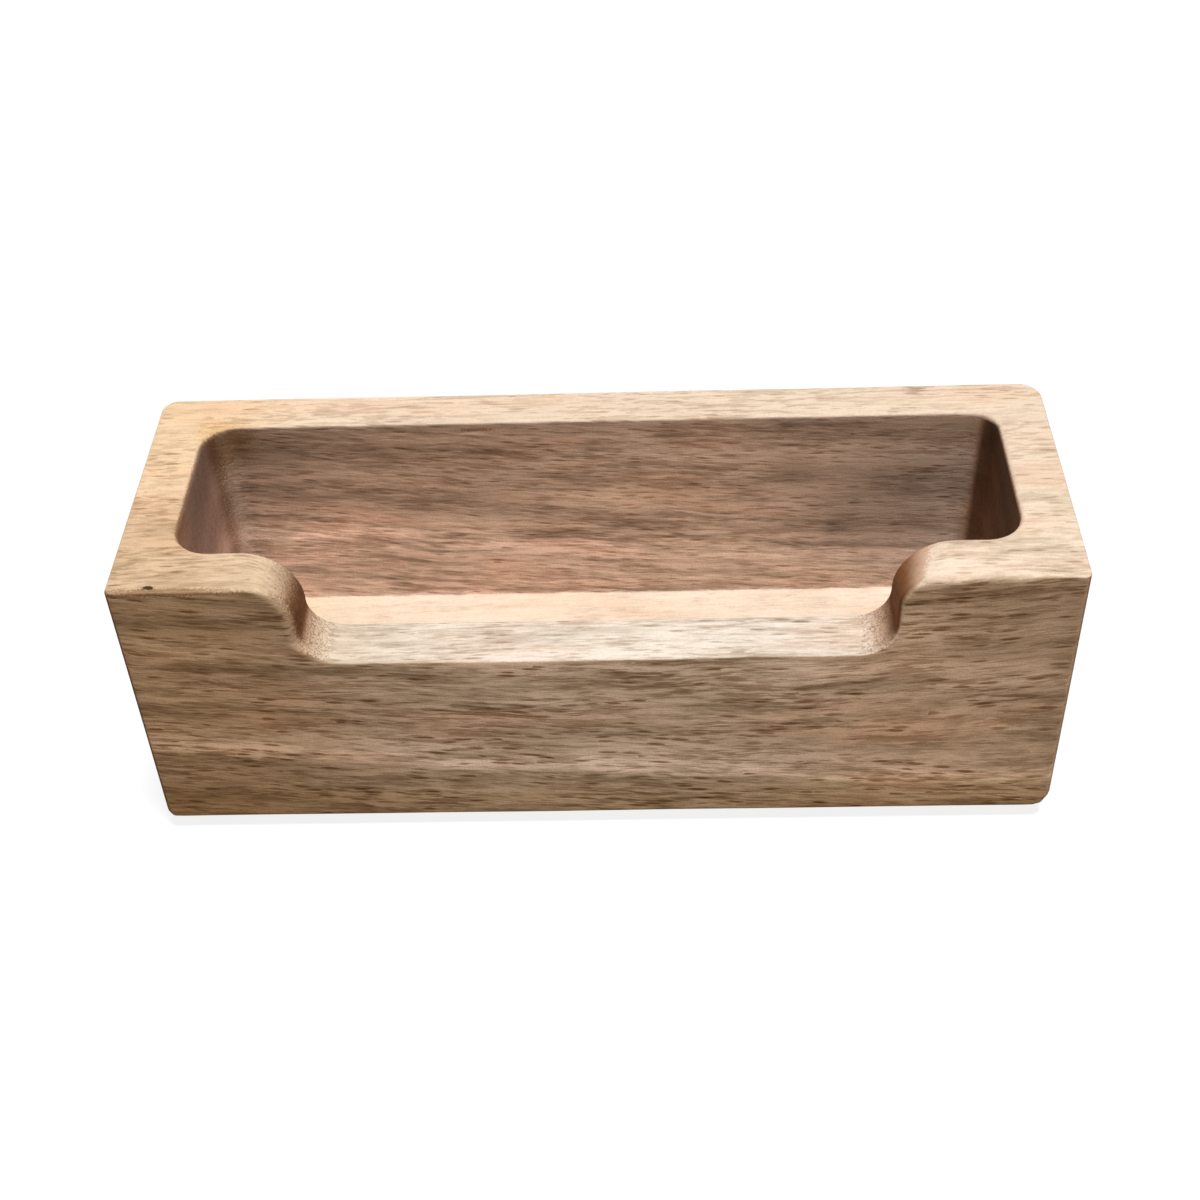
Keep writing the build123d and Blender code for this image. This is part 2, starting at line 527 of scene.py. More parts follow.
def layer_tone(s, layer):
    """The brightness of a growth layer beside the mean."""
    lowest = LAYER_TONES[0][0]
    span = LAYER_TONES[-1][0] - lowest
    brightest = max(tone for height, tone in LAYER_TONES)
    places = [((height - lowest) / span, tone / brightest) for height, tone in LAYER_TONES]
    curve = s.add("ShaderNodeFloatCurve")
    points = curve.mapping.curves[0].points
    points[0].location = places[0]
    points[1].location = places[-1]
    for place in places[1:-1]:
        points.new(*place)
    curve.mapping.update()
    s.give(curve.inputs["Value"], s.math("DIVIDE", s.math("SUBTRACT", layer, lowest), span))
    return s.product(curve.outputs[0], brightest)


def distance(s, place, centre, reach):
    """How far a place is from a centre, with 1 at the reach."""
    away = s.vector("DIVIDE", s.vector("SUBTRACT", place, centre), reach)
    return s.add("ShaderNodeVectorMath", away, operation="LENGTH").outputs["Value"]


def wood_place(s):
    """What the wood depends on at a point: its place, its growth layer, the way its surface is turned,
    and masks from 0 to 1 of the block's parts."""
    coordinates = s.add("ShaderNodeTexCoord").outputs
    normal = coordinates["Normal"]
    layer, fibre, millimetres = growth_layers(s, coordinates["Object"])
    x, y, z = s.separate(millimetres)
    _, backward, upward = s.separate(normal)
    at = SimpleNamespace(layer=layer, fibre=fibre, millimetres=millimetres, x=x, z=z, upward=upward)
    at.from_middle = s.math("ABSOLUTE", x)
    at.to_front_or_back = s.math("ABSOLUTE", backward)
    # 0 where a surface runs along the fibres, 1 at a cut end facing right and -1 at one facing left
    across = s.add("ShaderNodeVectorMath", normal, FIBRE_LINE, operation="DOT_PRODUCT")
    at.across = across.outputs["Value"]
    at.crossing = s.math("ABSOLUTE", at.across)

    at.level = s.smooth(upward, 0.3, 0.9)
    at.inside = s.smooth(y, *POCKET_Y)
    at.notch = s.smooth(at.from_middle, *NOTCH_X)
    at.floor = s.product(at.level, s.smooth(z, *FLOOR_Z))
    at.wall = s.product(at.inside, s.other(at.level))
    at.rim = s.product(at.inside, at.level)
    at.front = s.product(s.other(at.inside), s.other(at.level))
    at.sill = s.product(at.level, s.other(at.inside), s.smooth(at.from_middle, *SILL_X))
    return at


def wood_pattern(s, at):
    """The pattern of the fibres: broad figure, coarse streaks and their dark lines, pores cut open as
    dashes and dots, how closely they are set, and fine grains."""
    streaks, pores = streak_group(), pore_group()
    pattern = SimpleNamespace()
    pattern.figure = place_group(s, streaks, at.fibre, *FIGURE)
    pattern.coarse = place_group(s, streaks, at.fibre, *COARSE)
    pattern.lines = s.smooth(pattern.coarse, 0.51, 0.43)
    crowding = s.noise(s.vector("MULTIPLY", at.fibre, CROWDING), seed=13.0, detail=2.0)
    pattern.density = s.smooth(crowding, 0.36, 0.62, 0.30, 1.0)
    pattern.dashes = place_group(s, pores, at.fibre, *DASHES, pattern.density)
    pattern.dots = place_group(s, pores, s.vector("ADD", at.fibre, DOT_SHIFT), *DOTS)
    pattern.grains = place_group(s, fine_speckle(), at.millimetres, GRAINS_PER_MM)
    return pattern


def wood_tone(s, at, pattern):
    """The brightness of the wood beside its mean colour, with painted light and shade."""
    # Painted bounce light on the pocket's lower walls, and painted light on its floor
    bounce_lit_low_inside = s.product(at.inside, s.smooth(at.layer, *LOW_LAYERS))
    tone = s.mix(bounce_lit_low_inside, layer_tone(s, at.layer), s.mix(at.floor, LOW_WALL_BOUNCE_TONE, FLOOR_LIGHT_TONE))
    tone = s.mix(s.product(at.level, LEVEL_LAYERS), tone, 1.0)
    figured = s.smooth(pattern.figure, 0.33, 0.60, *FIGURE_TONES)
    plain = s.highest(
        s.product(at.level, s.mix(at.inside, *LEVEL_FIGURE)),
        s.smooth(at.crossing, 0.15, 0.7, 0.0, 0.8),
        s.smooth(at.x, 10.0, 45.0, 0.0, 0.25),
        s.product(at.inside, 0.1),
        s.product(at.floor, 0.85),
    )
    tone = s.product(tone, s.mix(plain, figured, PLAIN_TONE))

    # Painted shade high on the pocket's walls, in its top left corner, under its rim and at the front's
    # right edge
    shaded_high_wall = s.product(at.wall, s.smooth(at.z, 20.0, 32.0))
    tone = s.scaled(tone, shaded_high_wall, s.smooth(at.from_middle, 10.0, 46.0, 0.86, 0.74))
    shaded_top_left = s.product(at.wall, s.smooth(at.x, -28.0, -44.0), s.smooth(at.z, 18.0, 34.0))
    tone = s.scaled(tone, shaded_top_left, 0.78)
    shaded_under_rim = s.product(at.wall, s.smooth(at.z, 30.0, 36.0), s.smooth(at.x, 20.0, -20.0))
    tone = s.scaled(tone, shaded_under_rim, 0.80)
    shaded_right_edge = s.product(at.front, s.smooth(at.x, 50.5, 54.8))
    tone = s.scaled(tone, shaded_right_edge, 0.80)
    for centre, reach, brightness in ZONES:
        near = s.smooth(distance(s, at.millimetres, centre, reach), 1.2, 0.2)
        tone = s.scaled(tone, s.product(near, s.other(at.level)), brightness)
    speckle = s.smooth(pattern.grains, 0.25, 0.75, *SPECKLE_TONES)
    return s.product(tone, s.mix(s.product(at.level, LEVEL_SPECKLE), speckle, 1.0))


def long_grain(s, at, pattern, look):
    """The colour of the wood along its fibres, with its vessels."""
    tone = wood_tone(s, at, pattern)
    tones = [s.math("POWER", tone, s.mix(at.wall, *powers)) for powers in TONE_POWERS]
    wood = s.vector("MULTIPLY", tuple(look.heartwood), s.combine(*tones))
    leftward = s.mix(at.inside, 1.0, s.mix(at.level, 0.0, 0.2))
    patches = s.noise(s.vector("MULTIPLY", at.fibre, PATCHES), seed=14.0, detail=2.0)
    for amount, tint in (
        (s.product(s.smooth(at.x, -12.0, -50.0), leftward), look.left_tint),
        (s.product(at.front, s.smooth(at.x, 5.0, 45.0)), look.right_tint),
        (s.product(at.front, s.smooth(at.z, 8.0, 2.0)), look.low_tint),
        (at.wall, look.wall_tint),
        (s.product(at.rim, s.smooth(at.x, -30.0, -50.0)), look.rim_tint),
        # painted sheen on the sill
        (at.sill, look.sill_sheen_tint),
        (s.smooth(patches, 0.48, 0.72), look.red_tint),
    ):
        wood = s.tint(amount, wood, tint)

    openness = s.product(
        s.fade(at.level, 0.55),
        s.fade(at.floor, 0.4),
        s.smooth(at.crossing, 0.1, 0.5, 1.0, 0.2),
        s.fade(at.wall, 0.65),
        s.fade(at.sill, 1.25),
    )
    for mask, strength in (
        (pattern.lines, s.product(pattern.density, LINE_STRENGTH)),
        (pattern.dashes, DASH_STRENGTH),
        (pattern.dots, DOT_STRENGTH),
    ):
        wood = s.tint(s.product(mask, openness, strength), wood, look.vessel_tint)
    return wood


def with_end_grain(s, at, pattern, look, wood):
    """The wood with its darker end grain where a surface cuts across the fibres, and painted light and
    shade there.
    """
    outer_end = s.product(s.smooth(at.from_middle, 53.0, 54.0), s.smooth(at.crossing, 0.85, 0.97))
    to_right = s.highest(s.smooth(at.across, -0.1, 0.1), outer_end)
    # On a cut end facing left, the end grain and its painted shade start later towards the rim and on the
    # round of its edge, which stays lighter, and sooner lower down, as a painted shadow of the end wall
    shade_shift = s.product(s.math("SUBTRACT", at.z, SHADE_REACH_HEIGHT), SHADE_REACH_RATE)
    shade_shift = s.total(shade_shift, s.smooth(at.upward, 0.02, 0.35, 0.0, 0.4))
    shade_shift = s.product(shade_shift, s.other(at.notch), s.other(to_right))
    steps = []
    for end_left, end_right, notch_left, notch_right in END_GRAIN_STEPS:
        on_ends = s.mix(to_right, end_left, end_right)
        in_notch = s.mix(to_right, notch_left, notch_right)
        steps.append(s.total(s.mix(at.notch, on_ends, in_notch), shade_shift))
    start, full, steep_start, steep_full = steps

    grainy = s.total(at.crossing, s.swing(pattern.grains, s.mix(to_right, -0.4, -1.2)))
    # Neither end grain nor the painted light and shade of the ends where a face turns to the front or
    # back
    turned_front_or_back = s.smooth(at.to_front_or_back, s.mix(to_right, 0.80, 0.65), 1.0)
    hollow = s.product(s.smooth(at.z, 32.5, 28.0), s.smooth(at.upward, 0.05, 0.40))
    outer_edge = s.product(s.smooth(at.from_middle, 52.0, 54.0), s.smooth(at.upward, 0.2, 0.5))
    shown = s.product(
        s.smooth(grainy, start, full),
        s.other(turned_front_or_back),
        s.fade(hollow, 0.4),
        s.fade(outer_edge, 0.1),
    )
    steep = s.product(shown, s.smooth(at.crossing, steep_start, steep_full))
    root_dots = s.product(
        hollow,
        at.notch,
        s.smooth(at.crossing, 0.1, 0.35),
        s.smooth(pattern.grains, 0.53, 0.38, 0.0, 0.85),
    )
    crests = s.tint(to_right, look.right_crest_tint, look.left_crest_tint, "MIX")
    # Painted light on cut ends facing right or outside, painted shade on cut ends facing left
    ends = s.tint(to_right, look.shaded_end_tint, look.lit_end_tint, "MIX")
    wood = s.tint(root_dots, wood, look.left_crest_tint)
    wood = s.tint(shown, wood, crests)
    # The steep tint: painted light and shade on cut ends, end grain with painted shade on the notch
    # flanks
    return s.tint(steep, wood, s.tint(at.notch, ends, look.flank_grain_shade_tint, "MIX"))


def block_wood(look):
    """Open-pored hardwood, cut from a solid figure, so that every face shows its own section of it."""
    material, s, shader = new_material("open_pored_wood")
    at = wood_place(s)
    pattern = wood_pattern(s, at)
    wood = with_end_grain(s, at, pattern, look, long_grain(s, at, pattern, look))
    for centre, reach, tint in MARKS:
        away = s.total(distance(s, at.millimetres, centre, reach), s.swing(pattern.grains, 1.5))
        wood = s.tint(s.smooth(away, 1.0, 0.5), wood, tint)
    s.give(shader.inputs["Base Color"], wood)
    s.give(shader.inputs["Roughness"], s.smooth(pattern.coarse, 0.35, 0.65, 0.78, 0.62))
    shader.inputs["Specular IOR Level"].default_value = 0.1
    height = s.total(
        s.product(pattern.lines, -0.4),
        s.product(pattern.dashes, -0.6),
        s.product(pattern.grains, 0.5),
    )
    relief(s, shader, height, strength=0.35, depth=0.08 * MM)
    return material


# Rubber

RUBBER_GRAINS_PER_MM = 4.5
# How much lighter the dusty grains are than the rubber
DUSTINESS = 1.8


def foot_rubber(sizes):
    """Matt moulded rubber."""
    material, s, shader = new_material("moulded_rubber")
    coordinates = s.add("ShaderNodeTexCoord")
    millimetres = s.vector("MULTIPLY", coordinates.outputs["Object"], (1 / MM, 1 / MM, 1 / MM))
    grains = place_group(s, fine_speckle(), millimetres, RUBBER_GRAINS_PER_MM)
    dusty = [channel * DUSTINESS for channel in sizes.rubber]
    rubber = s.tint(s.smooth(grains, 0.45, 0.8), sizes.rubber, dusty, "MIX")
    s.give(shader.inputs["Base Color"], rubber)
    s.give(shader.inputs["Roughness"], s.smooth(grains, 0.3, 0.7, 0.58, 0.78))
    shader.inputs["Specular IOR Level"].default_value = 0.4
    relief(s, shader, grains, strength=0.35, depth=0.06 * MM)
    return material


# Block

# Steps along the ring of walls and round their section
NOTCH_STEPS = 70
SHOULDER_STEPS = 14
END_STEPS = 44
FRONT_STEPS = NOTCH_STEPS + SHOULDER_STEPS
EDGE_STEPS = 6
OUTER_STEPS = 60
RIM_STEPS = 10
INNER_STEPS = 46
# From where along the pocket its edges are rounder, and how far it takes
MOUTH_END = 44.0 * MM
MOUTH_FADE = 4.0 * MM
# The rounds that differ from one side to the other
ROUNDS_BY_SIDE = ("front", "back", "pocket", "crest")
# How much a bend draws the steps together, as a length for each radian
BEND_WEIGHT = 6.0 * MM
# How square the lines are that turn to circles where the ends' lower edges are worn round
SQUARENESS = 8.0
# How far the mesh lines under the steep notch flanks lean outwards at their feet
FLANK_LEAN = 1.7 * MM
# Length of the waves in the sanded rounds, and what picks those of the top and of the underside
EDGE_WAVE = 18.0 * MM
TOP_SEED, LOW_SEED = 3.0, 8.0
# Share of a flank's wear that its foot has, and how much sooner than the corner the shoulder's wear ends
FOOT_WEAR = 0.3
SHOULDER_HASTE = 1.3
# Points closer than this are one point, in a path and in a mesh
SAME_POINT, SAME_VERTEX = 1e-9, 1e-7


def arc(centre, radius, start, stop, steps=24):
    """Points along an arc in a plane, and the directions from its centre; angles in degrees."""
    angles = np.radians(np.linspace(start, stop, steps + 1))
    rays = np.stack((np.cos(angles), np.sin(angles)), axis=1)
    return np.asarray(centre) + radius * rays, rays


def straight(start, stop, normal):
    """A straight stretch of two points with their normals."""
    return np.array((start, stop), float), np.array((normal, normal), float)


def joined(*stretches):
    """Several stretches of points and normals end to end, without doubled points."""
    points, normals = (np.concatenate(rows) for rows in zip(*stretches))
    steps = np.linalg.norm(np.diff(points, axis=0), axis=1)
    fresh = np.concatenate(([True], steps > SAME_POINT))
    return points[fresh], normals[fresh]


def stepped(path, steps):
    """The path at even steps, closer where it bends, and its normals there."""
    points, normals = path
    lengths = np.linalg.norm(np.diff(points, axis=0), axis=1)
    turns = np.arccos(np.clip((normals[1:] * normals[:-1]).sum(axis=1), -1, 1))
    effort = np.concatenate(([0.0], np.cumsum(lengths + BEND_WEIGHT * turns)))
    wanted = np.linspace(0.0, effort[-1], steps + 1)
    columns = [np.interp(wanted, effort, column) for column in (*points.T, *normals.T)]
    facing = np.column_stack(columns[2:])
    return np.column_stack(columns[:2]), facing / np.linalg.norm(facing, axis=1, keepdims=True)


def notch_path(sizes, half_pocket, rim, crest_radius):
    """Half of the thumb notch from its middle to the shoulder, as (x, z) with its normals."""
    sill = rim - sizes.notch_depth
    flank = half_pocket - sizes.shoulder
    root_x = flank - sizes.root_radius
    crest_x = flank + crest_radius
    root, root_rays = arc((root_x, sill + sizes.root_radius), sizes.root_radius, -90, 0)
    crest = arc((crest_x, rim - crest_radius), crest_radius, 180, 90)
    end = half_pocket - sizes.pocket_corner_radius
    return joined(
        straight((0.0, sill), (root_x, sill), (0.0, 1.0)),
        (root, -root_rays),
        crest,
        straight((crest_x, rim), (end, rim), (0.0, 1.0)),
    )


def wall_paths(half_length, front, back, front_radius, back_radius, start, side):
    """The right half of a wall's outline in plan, cut at the middles of its corners: shoulder, end and
    back. The normals point out of the outline where side is 1, and into it where side is -1."""
    front_x = half_length - front_radius
    back_x = half_length - back_radius
    front_arc = arc((front_x, front + front_radius), front_radius, -90, 0)
    back_arc = arc((back_x, back - back_radius), back_radius, 0, 90)
    half = len(front_arc[0]) // 2
    firsts = [[part[: half + 1] for part in bend] for bend in (front_arc, back_arc)]
    seconds = [[part[half:] for part in bend] for bend in (front_arc, back_arc)]
    end = straight((half_length, front + front_radius), (half_length, back - back_radius), (1, 0))
    pieces = (
        joined(straight((start, front), (front_x, front), (0, -1)), firsts[0]),
        joined(seconds[0], end, firsts[1]),
        joined(seconds[1], straight((back_x, back), (0.0, back), (0, 1))),
    )
    return [(points, side * normals) for points, normals in pieces]


def lifted(plan, level):
    """Plan points (x, y) at a level."""
    return np.column_stack((plan, np.full(len(plan), level)))


def half_ring(sizes, side):
    """A right half of the ring of walls, from the front's middle to the back's, with the rounds of the
    left or of the right side. For each station of the outer and of the inner wall: its top corner, the
    way up from there, the way out of the wall, and where the wall stands in plan."""
    rounds = {name: getattr(sizes, f"{name}_radii")[side] for name in ROUNDS_BY_SIDE}
    low, high = np.array(BLOCK_LOW), np.array(BLOCK_HIGH)
    rim = high[2]
    half_pocket = high[0] - sizes.end_wall
    pocket_front = low[1] + sizes.front_wall
    pocket_back = high[1] - sizes.back_wall
    bend = sizes.pocket_corner_radius
    start = half_pocket - bend
    outer = wall_paths(high[0], low[1], high[1], rounds["front"], rounds["back"], start, 1)
    inner = wall_paths(half_pocket, pocket_front, pocket_back, bend, rounds["pocket"], start, -1)
    ring = {}
    for name, paths, y, out, crest in (
        ("outer", outer, low[1], -1.0, rounds["crest"]),
        ("inner", inner, pocket_front, 1.0, sizes.crest_radius),
    ):
        notch, notch_up = stepped(notch_path(sizes, half_pocket, rim, crest), NOTCH_STEPS)
        level = np.zeros(len(notch))
        rise = 1.0 - (rim - notch[:, 1]) / sizes.notch_depth
        stand_x = notch[:, 0] + FLANK_LEAN * np.sin(np.pi * rise**2)
        corners = np.column_stack((notch[:, 0], level + y, notch[:, 1]))
        ups = np.column_stack((notch_up[:, 0], level, notch_up[:, 1]))
        outs = np.tile((0.0, out, 0.0), (len(notch), 1))
        stands = np.column_stack((stand_x, level + y, level))
        stretches = [(corners, ups, outs, stands)]
        for path, steps in zip(paths, (SHOULDER_STEPS, END_STEPS, FRONT_STEPS)):
            points, normals = (rows[1:] for rows in stepped(path, steps))
            ups = np.tile(UP, (steps, 1))
            stretches.append((lifted(points, rim), ups, lifted(normals, 0.0), lifted(points, 0.0)))
        for part, rows in zip(("", "_up", "_out", "_stand"), zip(*stretches)):
            ring[name + part] = np.concatenate(rows)
    return ring


def whole_ring(sizes):
    """The right half of the ring and a mirrored half with the left side's rounds, as one closed ring."""
    flip = np.array((-1.0, 1.0, 1.0))
    right, left = half_ring(sizes, RIGHT), half_ring(sizes, LEFT)
    return {name: np.concatenate((right[name], left[name][-2:0:-1] * flip)) for name in right}


def sanded_radius(sizes, radius, points, seed):
    """The round of an edge at each station, which hand sanding leaves a little uneven."""
    places = [Vector(point) / EDGE_WAVE + Vector((seed, 0.0, 0.0)) for point in points]
    waves = np.array([noise.noise(place) for place in places])
    return (radius * (1.0 + sizes.edge_unevenness * waves))[:, None]


def by_side(radii, x):
    """The left or the right one of a pair of radii at each place along x."""
    return np.where(x > 0.0, radii[RIGHT], radii[LEFT])


def worn_top(sizes, ring):
    """What wear adds to the round of the top edge, on the notch's steep flanks and the right shoulder."""
    x, y = ring["outer"][:, 0], ring["outer"][:, 1]
    steep = 1.0 - ring["outer_up"][:, 2] ** 2
    flank_radius = by_side(sizes.flank_radii, x)
    crest = BLOCK_HIGH.x - sizes.end_wall - sizes.shoulder
    along = np.clip(SHOULDER_HASTE * (x - crest) / (BLOCK_HIGH.x - crest), 0.0, 1.0)
    shoulder = np.where(y < BLOCK_LOW.y + sizes.edge_radius, np.sin(np.pi * along), 0.0)
    rise = 1.0 - (BLOCK_HIGH.z - ring["outer"][:, 2]) / sizes.notch_depth
    worn_share = FOOT_WEAR + (1.0 - FOOT_WEAR) * rise
    flank_wear = steep * worn_share * (flank_radius - sizes.top_radius)
    shoulder_wear = shoulder * (sizes.shoulder_radius - sizes.top_radius)
    return np.maximum(flank_wear, shoulder_wear)[:, None]


def rounded(centre, radius, first, last):
    """Rows of points along a quarter turn about a row of centres, from one direction to another."""
    turns = np.linspace(0, math.pi / 2, EDGE_STEPS + 1)
    return [centre + radius * (first * math.cos(turn) + last * math.sin(turn)) for turn in turns]


def between(first, last, steps):
    """The rows strictly between two rows of points."""
    return [first + (last - first) * step / steps for step in range(1, steps)]


def wall_section(sizes, ring):
    """Rows of points round the section of the walls, from the underside, over the rim, to the floor."""
    underside = BLOCK_LOW.z
    floor = underside + sizes.base
    outer, up, out = ring["outer"], ring["outer_up"], ring["outer_out"]
    inner, inner_up, into = ring["inner"], ring["inner_up"], ring["inner_out"]
    top_round = sanded_radius(sizes, sizes.top_radius, outer, TOP_SEED) + worn_top(sizes, ring)
    low_round = sanded_radius(sizes, sizes.edge_radius, ring["outer_stand"], LOW_SEED)

    low_centre = ring["outer_stand"] - out * low_round + UP * (underside + low_round)
    top_centre = outer - (up + out) * top_round
    at_ends = np.clip((np.abs(inner[:, :1]) - MOUTH_END) / MOUTH_FADE, 0.0, 1.0)
    mouth_round = sizes.rim_radius + (sizes.end_rim_radius - sizes.rim_radius) * at_ends
    mouth_centre = inner - (inner_up + into) * mouth_round
    toe_centre = ring["inner_stand"] + into * sizes.floor_radius + UP * (floor + sizes.floor_radius)
    low = rounded(low_centre, low_round, -UP, out)
    top = rounded(top_centre, top_round, out, up)
    mouth = rounded(mouth_centre, mouth_round, inner_up, into)
    toe = rounded(toe_centre, sizes.floor_radius, -into, -UP)
    outer_wall = between(low[-1], top[0], OUTER_STEPS)
    rim = between(top[-1], mouth[0], RIM_STEPS)
    inner_wall = between(mouth[-1], toe[0], INNER_STEPS)
    return np.stack(low + outer_wall + top + rim + mouth + inner_wall + toe, axis=1)


def worn_ends(sizes, points):
    """Points of the block with the lower edges of its ends worn round: there, squares become circles."""
    x, z = points[:, 0], points[:, 2]
    radius = by_side(sizes.end_radii, x)
    along = np.maximum(np.abs(x) - BLOCK_HIGH.x + radius, 0.0)
    down = np.maximum(BLOCK_LOW.z + radius - z, 0.0)
    squarish = (along**SQUARENESS + down**SQUARENESS) ** (1.0 / SQUARENESS)
    pull = 1.0 - squarish / np.maximum(np.hypot(along, down), SAME_POINT)
    pull = np.where(along * down > 0.0, pull, 0.0)
    return points + np.column_stack((-np.sign(x) * along * pull, np.zeros(len(x)), down * pull))


def filled(loop):
    """A grid of points inside a closed ring of stations, spun between its front, back and ends."""
    count = len(loop)
    right_front = FRONT_STEPS
    right_back = right_front + END_STEPS
    left_front = count - right_front
    left_back = count - right_back
    front = np.concatenate((loop[left_front:], loop[: right_front + 1]))
    back = loop[right_back : left_back + 1][::-1]
    right = loop[right_front : right_back + 1]
    left = loop[left_back : left_front + 1][::-1]
    u = np.linspace(0, 1, len(front))[:, None, None]
    v = np.linspace(0, 1, len(right))[None, :, None]
    sides = (1 - v) * front[:, None] + v * back[:, None] + (1 - u) * left[None] + u * right[None]
    ends = (1 - u) * ((1 - v) * front[0] + v * back[0]) + u * ((1 - v) * front[-1] + v * back[-1])
    return sides - ends


def quads(grid, closed=False):
    """The faces of a grid of point numbers; a closed grid joins its last row to its first."""
    here = grid if closed else grid[:-1]
    after = np.roll(grid, -1, axis=0) if closed else grid[1:]
    return np.stack((here[:, :-1], after[:, :-1], after[:, 1:], here[:, 1:]), axis=-1).reshape(-1, 4)


def merged(mesh):
    """Merges a mesh's doubled points and turns its faces outwards."""
    work = bmesh.new()
    work.from_mesh(mesh)
    bmesh.ops.remove_doubles(work, verts=work.verts, dist=SAME_VERTEX)
    bmesh.ops.recalc_face_normals(work, faces=work.faces)
    work.to_mesh(mesh)
    work.free()
    return mesh


def block_mesh(sizes):
    """The block: a closed ring of walls, with the underside and the pocket's floor filled in."""
    section = wall_section(sizes, whole_ring(sizes))
    stations, rows = section.shape[:2]
    points = [section.reshape(-1, 3)]
    faces = [quads(np.arange(stations * rows).reshape(stations, rows), closed=True)]
    for row in (0, rows - 1):
        cap = filled(section[:, row])
        first = sum(len(part) for part in points)
        numbers = first + np.arange(cap.shape[0] * cap.shape[1]).reshape(cap.shape[:2])
        points.append(cap.reshape(-1, 3))
        faces.append(quads(numbers))
    mesh = bpy.data.meshes.new("milled block")
    worn = worn_ends(sizes, np.concatenate(points))
    mesh.from_pydata(worn.tolist(), [], np.concatenate(faces).tolist())
    return merged(mesh)


def finish_geometry(s, geometry, material, leave):
    """Ends a geometry tree: smooth shading, realized instances and the material."""
    geometry = s.made("GeometryNodeSetShadeSmooth", geometry)
    geometry = s.made("GeometryNodeRealizeInstances", geometry)
    s.give(leave["Geometry"], s.made("GeometryNodeSetMaterial", geometry, None, material))


# The normals of the underside, which stays flat, point down by more than this
DOWNWARD = -0.99
# Steps round the lower edge of a foot, the number of that corner in its profile, and the distance within
# which the turned profile's points are merged
FOOT_EDGE_STEPS = 6
LOWER_CORNER = 2.0
FOOT_MERGE = 1e-6


def sanding_tree():
    """Sinks a surface a little along its normals: shallow sanding waves, and streaks along the grain."""
    inputs = {
        "Geometry": ["Geometry"],
        "Float": ["Unevenness", "Patch size", "Grain relief", "Relief pitch", "Relief length"],
        "Int": ["Seed"],
        "Material": ["Material"],
    }
    outputs = {"Geometry": ["Geometry"]}
    tree, s, entry, leave = node_group("Hand sanding", "GeometryNodeTree", inputs, outputs)
    place = s.made("GeometryNodeInputPosition")
    normal = s.made("GeometryNodeInputNormal")
    patches = s.drawn_out(place, entry["Patch size"], entry["Patch size"])
    streaks = s.drawn_out(place, entry["Relief length"], entry["Relief pitch"])
    depth = s.total(
        s.product(s.noise(patches, entry["Seed"], 1.0), entry["Unevenness"]),
        s.product(s.noise(streaks, entry["Seed"], 1.0), entry["Grain relief"]),
    )
    sunk = s.product(depth, -1.0)
    not_underside = s.math("GREATER_THAN", s.separate(normal)[2], DOWNWARD)
    offset = s.vector("MULTIPLY", normal, s.combine(sunk, sunk, sunk))
    moved = s.made("GeometryNodeSetPosition", entry["Geometry"], not_underside, None, offset)
    finish_geometry(s, moved, entry["Material"], leave)
    return tree


def feet_tree():
    """Four round feet: a profile with one rounded corner, turned about its axis, at four corners."""
    inputs = {
        "Float": ["Top radius", "Bottom radius", "Height", "Edge round", "Spread X", "Spread Y"],
        "Int": ["Segments"],
        "Material": ["Material"],
    }
    outputs = {"Geometry": ["Geometry"]}
    tree, s, entry, leave = node_group("Moulded feet", "GeometryNodeTree", inputs, outputs)
    places = (
        (0.0, entry["Height"]),
        (entry["Top radius"], entry["Height"]),
        (entry["Bottom radius"], 0.0),
        (0.0, 0.0),
    )
    corner = s.made("GeometryNodeInputIndex")
    corners = s.add("GeometryNodeIndexSwitch", corner, data_type="VECTOR")
    while len(corners.index_switch_items) < len(places):
        corners.index_switch_items.new()
    for socket, (radius, height) in zip(corners.inputs[1:], places):
        s.give(socket, s.combine(radius, 0.0, height))
    line = s.made("GeometryNodeMeshLine", len(places))
    line = s.made("GeometryNodeSetPosition", line, None, corners.outputs[0])
    line = s.made("GeometryNodeMeshToCurve", line)
    round_there = s.product(entry["Edge round"], s.math("COMPARE", corner, LOWER_CORNER, 0.5))
    line = s.made("GeometryNodeFilletCurve", line, FOOT_EDGE_STEPS, round_there, mode="POLY")
    profile = s.made("GeometryNodeCurveToPoints", line, mode="EVALUATED")
    size = s.made("GeometryNodeAttributeDomainSize", profile, component="POINTCLOUD")

    sheet = s.made("GeometryNodeMeshGrid", 1.0, 1.0, s.total(entry["Segments"], 1.0), size)
    place = s.made("GeometryNodeInputPosition")
    x, y, _ = s.separate(place)
    last = s.math("SUBTRACT", size, 1.0)
    number = s.math("ROUND", s.product(s.total(y, 0.5), last))
    sample = s.add("GeometryNodeSampleIndex", data_type="FLOAT_VECTOR")
    s.give(sample.inputs["Geometry"], profile)
    s.give(sample.inputs["Value"], place)
    s.give(sample.inputs["Index"], number)
    radius, _, height = s.separate(sample.outputs[0])
    turn = s.product(x, 2 * math.pi)
    across = s.product(radius, s.math("COSINE", turn))
    along = s.product(radius, s.math("SINE", turn))
    foot = s.made("GeometryNodeSetPosition", sheet, None, s.combine(across, along, height))
    foot = s.made("GeometryNodeMergeByDistance", foot, None, FOOT_MERGE)
    spots = s.made("GeometryNodeMeshGrid", entry["Spread X"], entry["Spread Y"], 2, 2)
    feet = s.made("GeometryNodeInstanceOnPoints", spots, None, foot)
    finish_geometry(s, feet, entry["Material"], leave)
    return tree


